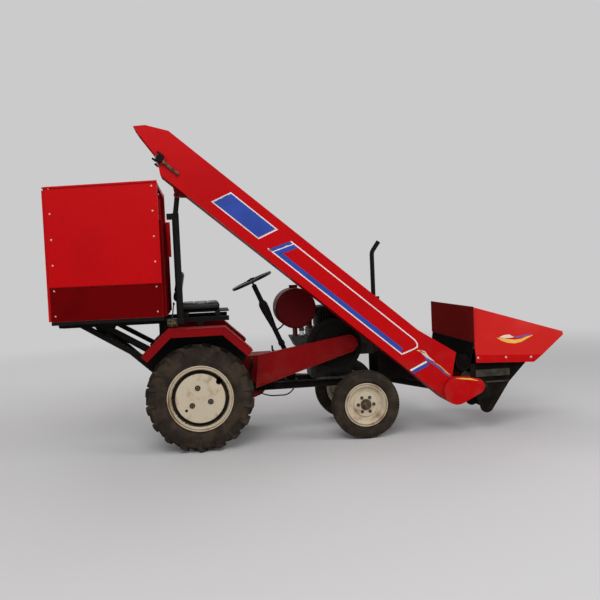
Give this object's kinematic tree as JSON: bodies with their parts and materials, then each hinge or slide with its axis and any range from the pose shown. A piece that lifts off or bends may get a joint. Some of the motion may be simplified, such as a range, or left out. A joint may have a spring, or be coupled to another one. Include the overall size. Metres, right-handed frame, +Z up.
{
  "type": "corn combine harvester",
  "caption": "Compact belt-drive tractor with a mounted corn picker: gathering hoods and snapping rolls in front, a slanted side elevator and a tipping ear box at the rear.",
  "frame": {"origin": "middle of the machine's length and width, on the ground", "axes": "+X forward, +Y to the machine's left, +Z up"},
  "size_m": [4.499, 1.24, 2.7891],
  "materials": {
    "bright_red_paint": "gloss",
    "dark_red_paint": "satin",
    "black_paint": "satin",
    "bare_steel": "worn",
    "engine_grey": "matt",
    "cream_paint": "rust stained",
    "tyre_rubber": "dusty",
    "belt_rubber": "matt",
    "seat_cover": "matt"
  },
  "bodies": {
    "tractor": {"frame_rails": "black_paint", "transmission": "dark_red_paint", "front_axle": "black_paint", "engine": "engine_grey", "radiator": "black_paint", "fuel_tank": "dark_red_paint", "exhaust": "black_paint", "headlamps": "cream_paint", "belt_guard": "dark_red_paint", "drive_belts": "belt_rubber", "steering_column": "black_paint", "footboards": "black_paint", "fenders": "dark_red_paint", "seat": "seat_cover", "hydraulic_valve": "bare_steel", "box_trusses": "black_paint", "support_crossbars": "black_paint", "elevator_post": "black_paint"},
    "steering_wheel": {"steering_wheel": "black_paint"},
    "knuckle_right": {"knuckle_right": "black_paint"},
    "knuckle_left": {"knuckle_left": "black_paint"},
    "tie_rod": {"tie_rod": "bare_steel"},
    "drag_link": {"drag_link": "bare_steel"},
    "pitman_arm": {"pitman_arm": "bare_steel"},
    "front_wheel_right": {"front_tyre_right": "tyre_rubber", "front_rim_right": "cream_paint"},
    "front_wheel_left": {"front_tyre_left": "tyre_rubber", "front_rim_left": "cream_paint"},
    "rear_wheel_right": {"rear_tyre_right": "tyre_rubber", "rear_rim_right": "cream_paint"},
    "rear_wheel_left": {"rear_tyre_left": "tyre_rubber", "rear_rim_left": "cream_paint"},
    "flywheel": {"flywheel": "black_paint"},
    "ear_box": {"box_floor": "black_paint", "box_sides": "bright_red_paint", "box_front": "bright_red_paint", "box_rails": "bright_red_paint"},
    "tailgate": {"tailgate": "bright_red_paint"},
    "tip_barrel": {"tip_barrel": "black_paint"},
    "tip_rod": {"tip_rod": "bare_steel"},
    "picker": {"elevator_walls": "bright_red_paint", "elevator_floors": "dark_red_paint", "elevator_chain": "bare_steel", "boot_cover": "bright_red_paint", "auger_trough": "black_paint", "header_back": "dark_red_paint", "row_frames": "black_paint", "row_decks": "bare_steel", "gathering_chains": "bare_steel", "divider_hoods": "bright_red_paint"},
    "cross_auger": {"cross_auger": "bare_steel"},
    "snapping_roll_1": {"snapping_roll_1": "bare_steel"},
    "snapping_roll_2": {"snapping_roll_2": "bare_steel"},
    "snapping_roll_3": {"snapping_roll_3": "bare_steel"},
    "snapping_roll_4": {"snapping_roll_4": "bare_steel"},
    "lift_barrels": {"lift_barrels": "black_paint"},
    "lift_rods": {"lift_rods": "bare_steel"}
  },
  "joints": [
    {"name": "rear_right_roll", "type": "hinge", "parent": "tractor", "child": "rear_wheel_right", "pos_m": [-1.0405, -0.5, 0.467], "axis": [0, 1, 0], "continuous": true},
    {"name": "rear_left_roll", "type": "hinge", "parent": "tractor", "child": "rear_wheel_left", "pos_m": [-1.0405, 0.5, 0.467], "axis": [0, 1, 0], "continuous": true},
    {"name": "steer", "type": "hinge", "parent": "tractor", "child": "knuckle_right", "pos_m": [0.4145, -0.395, 0.304], "axis": [0, 0, 1], "range_deg": [-30, 30]},
    {"name": "steer_left", "type": "hinge", "parent": "tractor", "child": "knuckle_left", "pos_m": [0.4145, 0.395, 0.304], "axis": [0, 0, 1], "range_deg": [-30, 30]},
    {"name": "front_right_roll", "type": "hinge", "parent": "knuckle_right", "child": "front_wheel_right", "pos_m": [0.4145, -0.48, 0.304], "axis": [0, 1, 0], "continuous": true},
    {"name": "front_left_roll", "type": "hinge", "parent": "knuckle_left", "child": "front_wheel_left", "pos_m": [0.4145, 0.48, 0.304], "axis": [0, 1, 0], "continuous": true},
    {"name": "tie_rod_shift", "type": "slide", "parent": "tractor", "child": "tie_rod", "axis": [0, -1, 0], "range_m": [-0.066, 0.066]},
    {"name": "drag_link_shift", "type": "slide", "parent": "tractor", "child": "drag_link", "axis": [1, 0, 0], "range_m": [-0.084, 0.084]},
    {"name": "pitman_swing", "type": "hinge", "parent": "tractor", "child": "pitman_arm", "pos_m": [-0.1605, 0.23, 0.7], "axis": [0, -1, 0], "range_deg": [-25, 25]},
    {"name": "steering_wheel_turn", "type": "hinge", "parent": "tractor", "child": "steering_wheel", "pos_m": [-0.51808, 0, 1.4414], "axis": [-0.3907, 0, 0.9205], "range_deg": [-240, 240]},
    {"name": "flywheel_spin", "type": "hinge", "parent": "tractor", "child": "flywheel", "pos_m": [0.2025, -0.206, 0.817], "axis": [0, 1, 0], "continuous": true},
    {"name": "box_tip", "type": "hinge", "parent": "tractor", "child": "ear_box", "pos_m": [-2.2005, 0, 1.13], "axis": [0, -1, 0], "range_deg": [0, 45]},
    {"name": "tailgate_swing", "type": "hinge", "parent": "ear_box", "child": "tailgate", "pos_m": [-2.2375, 0, 2.291], "axis": [0, 1, 0], "range_deg": [0, 80]},
    {"name": "tip_barrel_swing", "type": "hinge", "parent": "tractor", "child": "tip_barrel", "pos_m": [-1.3405, 0, 0.56], "axis": [0, -1, 0], "range_deg": [-7.21, 0.1]},
    {"name": "tip_rod_stroke", "type": "slide", "parent": "tip_barrel", "child": "tip_rod", "axis": [-0.7287, 0, 0.6848], "range_m": [-0.001, 0.186]},
    {"name": "picker_lift", "type": "hinge", "parent": "tractor", "child": "picker", "pos_m": [-1.15589, -0.435, 2.21302], "axis": [0, -1, 0], "range_deg": [-2.5, 4.5]},
    {"name": "lift_barrels_swing", "type": "hinge", "parent": "tractor", "child": "lift_barrels", "pos_m": [0.7095, 0, 0.466], "axis": [0, -1, 0], "range_deg": [-10.75, 19.26]},
    {"name": "lift_rods_stroke", "type": "slide", "parent": "lift_barrels", "child": "lift_rods", "axis": [0.9744, 0, -0.2246], "range_m": [-0.062, 0.1108]},
    {"name": "auger_spin", "type": "hinge", "parent": "picker", "child": "cross_auger", "pos_m": [1.4995, 0, 0.415], "axis": [0, 1, 0], "continuous": true},
    {"name": "roll_1_spin", "type": "hinge", "parent": "picker", "child": "snapping_roll_1", "pos_m": [1.7595, -0.341, 0.64], "axis": [0.9272, 0, 0.3746], "continuous": true},
    {"name": "roll_2_spin", "type": "hinge", "parent": "picker", "child": "snapping_roll_2", "pos_m": [1.7595, -0.259, 0.64], "axis": [0.9272, 0, 0.3746], "continuous": true},
    {"name": "roll_3_spin", "type": "hinge", "parent": "picker", "child": "snapping_roll_3", "pos_m": [1.7595, 0.259, 0.64], "axis": [0.9272, 0, 0.3746], "continuous": true},
    {"name": "roll_4_spin", "type": "hinge", "parent": "picker", "child": "snapping_roll_4", "pos_m": [1.7595, 0.341, 0.64], "axis": [0.9272, 0, 0.3746], "continuous": true}
  ],
  "couplings": [
    {"joint": "steer_left", "follows": "steer", "ratio": 1},
    {"joint": "tie_rod_shift", "follows": "steer", "m_per_rad": 0.1241},
    {"joint": "drag_link_shift", "follows": "steer", "m_per_rad": 0.1576},
    {"joint": "pitman_swing", "follows": "steer", "ratio": 0.812},
    {"joint": "steering_wheel_turn", "follows": "steer", "ratio": 8},
    {"joint": "tip_barrel_swing", "follows": "box_tip", "ratio": -0.158},
    {"joint": "tip_rod_stroke", "follows": "box_tip", "m_per_rad": 0.2355},
    {"joint": "lift_barrels_swing", "follows": "picker_lift", "ratio": 4.2588},
    {"joint": "lift_rods_stroke", "follows": "picker_lift", "m_per_rad": 1.3976},
    {"joint": "roll_2_spin", "follows": "roll_1_spin", "ratio": -1},
    {"joint": "roll_4_spin", "follows": "roll_3_spin", "ratio": -1}
  ]
}
